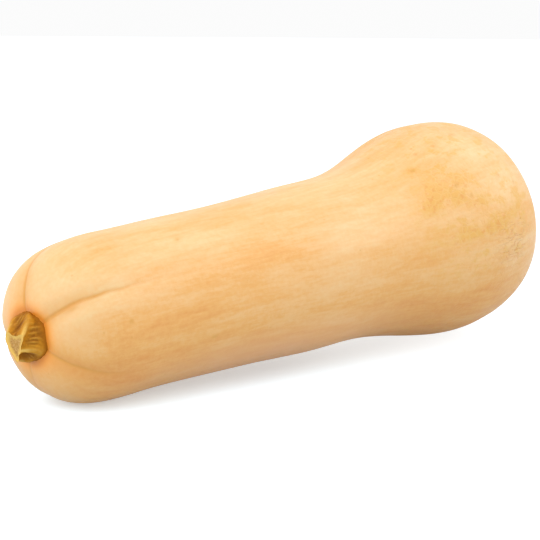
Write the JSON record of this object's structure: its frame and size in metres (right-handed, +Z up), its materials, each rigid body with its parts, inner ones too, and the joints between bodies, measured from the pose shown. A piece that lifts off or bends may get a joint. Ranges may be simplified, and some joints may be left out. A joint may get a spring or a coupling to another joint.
{
  "type": "butternut squash",
  "caption": "Whole squash with a long cylindrical neck, a round bulb and a short ridged stem stub, lying on its side as picked, for food and kitchen scenes.",
  "frame": {"origin": "on the surface that the squash rests on, under the middle of its overall box", "axes": "+X along the fruit from the stem end to the blossom end, +Z up"},
  "size_m": [0.2886, 0.108, 0.108],
  "materials": {
    "squash_skin": "satin",
    "dry_stem": "matte"
  },
  "bodies": {
    "root": {"fruit": "squash_skin", "stem": "dry_stem"}
  },
  "joints": []
}
